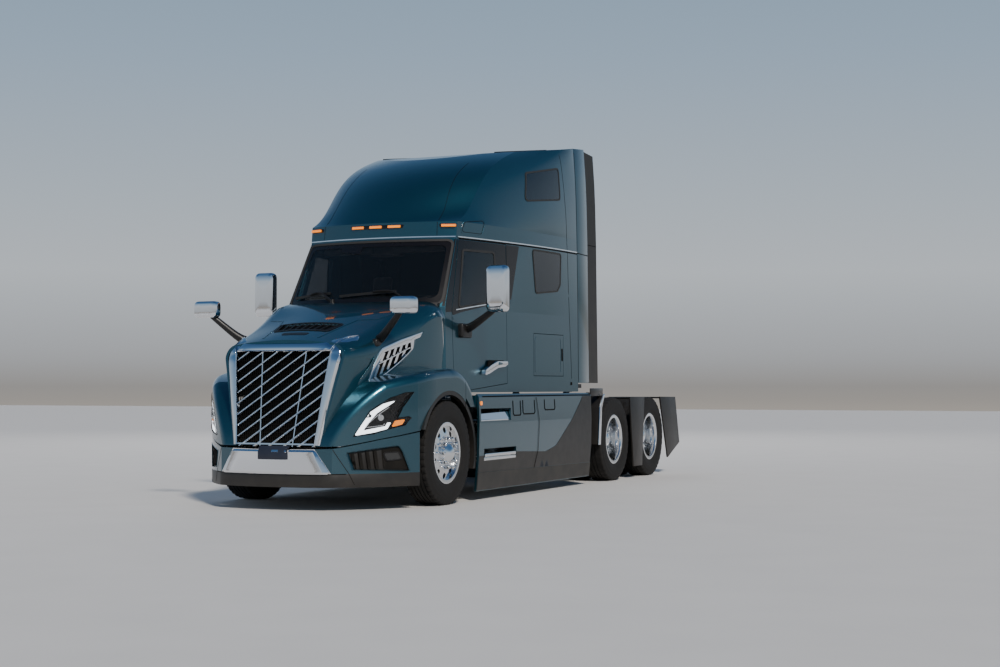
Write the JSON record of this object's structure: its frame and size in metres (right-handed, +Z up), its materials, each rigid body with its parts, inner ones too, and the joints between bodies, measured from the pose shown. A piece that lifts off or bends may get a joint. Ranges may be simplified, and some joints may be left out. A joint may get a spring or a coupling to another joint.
{
  "type": "semi truck tractor unit",
  "caption": "Bonneted semi truck tractor unit with high-roof sleeper cab, tandem drive axles, fifth wheel, opening doors, tilting hood and steering front wheels.",
  "frame": {"origin": "middle of the vehicle's length and width, on the ground", "axes": "+Z up, front of the vehicle towards -Y, +X to the vehicle's left"},
  "size_m": [3.044, 8.2999, 3.96],
  "materials": {
    "paint": "gloss metallic",
    "chrome": "mirror",
    "black_plastic": "satin",
    "glass": "clear",
    "tyre": "matt",
    "aluminium": "polished",
    "chassis": "satin",
    "cast": "satin",
    "lamp": "gloss",
    "amber": "gloss",
    "red_lamp": "gloss",
    "rubber": "matt",
    "interior": "satin",
    "fabric": "woven",
    "cushion": "woven"
  },
  "bodies": {
    "tractor": {"frame": "chassis", "deck_plate": "aluminium", "bumper": "paint", "bumper_chrome": "chrome", "bumper_valance": "black_plastic", "front_axle": "cast", "drive_axles": "cast", "suspension": "chassis", "engine": "cast", "driveshafts": "cast", "fuel_tanks": "aluminium", "side_skirts": "paint", "cab_steps": "aluminium", "drive_fairings": "black_plastic", "fifth_wheel_base": "cast", "tail_lamps": "red_lamp", "cab_shell": "paint", "sleeper_shell": "paint", "roof": "paint", "cab_glass": "glass", "side_extenders": "paint", "extender_flaps": "rubber", "dashboard": "interior", "seats": "fabric", "steering_wheel": "interior", "bunk": "cushion", "cowl": "black_plastic", "marker_lamps": "amber", "arch_liners": "black_plastic"},
    "hood": {"hood": "paint", "grille_surround": "chrome", "grille": "black_plastic", "headlamps": "lamp", "hood_vents": "black_plastic", "hood_mirrors": "chrome", "fender_flares": "black_plastic"},
    "door_left": {"door_left_panel": "paint", "door_left_glass": "glass", "door_left_mirror": "chrome"},
    "baggage_door_left": {"baggage_door_left": "paint"},
    "knuckle_left": {"knuckle_left": "cast"},
    "front_wheel_left": {"front_tyre_left": "tyre", "front_rim_left": "aluminium"},
    "front_drive_wheel_left": {"front_drive_rims_left": "aluminium", "front_drive_tyres_left": "tyre"},
    "rear_drive_wheel_left": {"rear_drive_rims_left": "aluminium", "rear_drive_tyres_left": "tyre"},
    "door_right": {"door_right_panel": "paint", "door_right_glass": "glass", "door_right_mirror": "chrome"},
    "baggage_door_right": {"baggage_door_right": "paint"},
    "knuckle_right": {"knuckle_right": "cast"},
    "front_wheel_right": {"front_tyre_right": "tyre", "front_rim_right": "aluminium"},
    "front_drive_wheel_right": {"front_drive_rims_right": "aluminium", "front_drive_tyres_right": "tyre"},
    "rear_drive_wheel_right": {"rear_drive_rims_right": "aluminium", "rear_drive_tyres_right": "tyre"},
    "tie_rod": {"tie_rod": "cast"},
    "fifth_wheel": {"fifth_wheel_plate": "cast"}
  },
  "joints": [
    {"name": "hood_tilt", "type": "hinge", "parent": "tractor", "child": "hood", "pos_m": [0, -4.022, 0.3], "axis": [1, 0, 0], "range_deg": [0, 70]},
    {"name": "door_left_swing", "type": "hinge", "parent": "tractor", "child": "door_left", "pos_m": [0.985, -2.275, 1.6], "axis": [0, 0, -1], "range_deg": [0, 72]},
    {"name": "baggage_left_swing", "type": "hinge", "parent": "tractor", "child": "baggage_door_left", "pos_m": [1.125, -0.558, 1.5], "axis": [0, 0, -1], "range_deg": [0, 95]},
    {"name": "steer_left", "type": "hinge", "parent": "tractor", "child": "knuckle_left", "pos_m": [0.86, -2.79, 0.43], "axis": [0, 0, 1], "range_deg": [-36, 36]},
    {"name": "front_wheel_left_spin", "type": "hinge", "parent": "knuckle_left", "child": "front_wheel_left", "pos_m": [1.036, -2.79, 0.505], "axis": [1, 0, 0], "continuous": true},
    {"name": "front_drive_wheel_left_spin", "type": "hinge", "parent": "tractor", "child": "front_drive_wheel_left", "pos_m": [0.915, 1.716, 0.505], "axis": [1, 0, 0], "continuous": true},
    {"name": "rear_drive_wheel_left_spin", "type": "hinge", "parent": "tractor", "child": "rear_drive_wheel_left", "pos_m": [0.915, 3.036, 0.505], "axis": [1, 0, 0], "continuous": true},
    {"name": "door_right_swing", "type": "hinge", "parent": "tractor", "child": "door_right", "pos_m": [-0.985, -2.275, 1.6], "axis": [0, 0, 1], "range_deg": [0, 72]},
    {"name": "baggage_right_swing", "type": "hinge", "parent": "tractor", "child": "baggage_door_right", "pos_m": [-1.125, -0.558, 1.5], "axis": [0, 0, 1], "range_deg": [0, 95]},
    {"name": "steer_right", "type": "hinge", "parent": "tractor", "child": "knuckle_right", "pos_m": [-0.86, -2.79, 0.43], "axis": [0, 0, 1], "range_deg": [-36, 36]},
    {"name": "front_wheel_right_spin", "type": "hinge", "parent": "knuckle_right", "child": "front_wheel_right", "pos_m": [-1.036, -2.79, 0.505], "axis": [1, 0, 0], "continuous": true},
    {"name": "front_drive_wheel_right_spin", "type": "hinge", "parent": "tractor", "child": "front_drive_wheel_right", "pos_m": [-0.915, 1.716, 0.505], "axis": [1, 0, 0], "continuous": true},
    {"name": "rear_drive_wheel_right_spin", "type": "hinge", "parent": "tractor", "child": "rear_drive_wheel_right", "pos_m": [-0.915, 3.036, 0.505], "axis": [1, 0, 0], "continuous": true},
    {"name": "tie_rod_swing", "type": "hinge", "parent": "knuckle_left", "child": "tie_rod", "pos_m": [0.86, -2.56, 0.265], "axis": [0, 0, 1], "range_deg": [-36, 36]},
    {"name": "fifth_wheel_rock", "type": "hinge", "parent": "tractor", "child": "fifth_wheel", "pos_m": [0, 2.26, 1.112], "axis": [1, 0, 0], "range_deg": [-12, 12]}
  ],
  "couplings": [
    {"joint": "steer_right", "follows": "steer_left", "ratio": 1},
    {"joint": "tie_rod_swing", "follows": "steer_left", "ratio": -1}
  ]
}
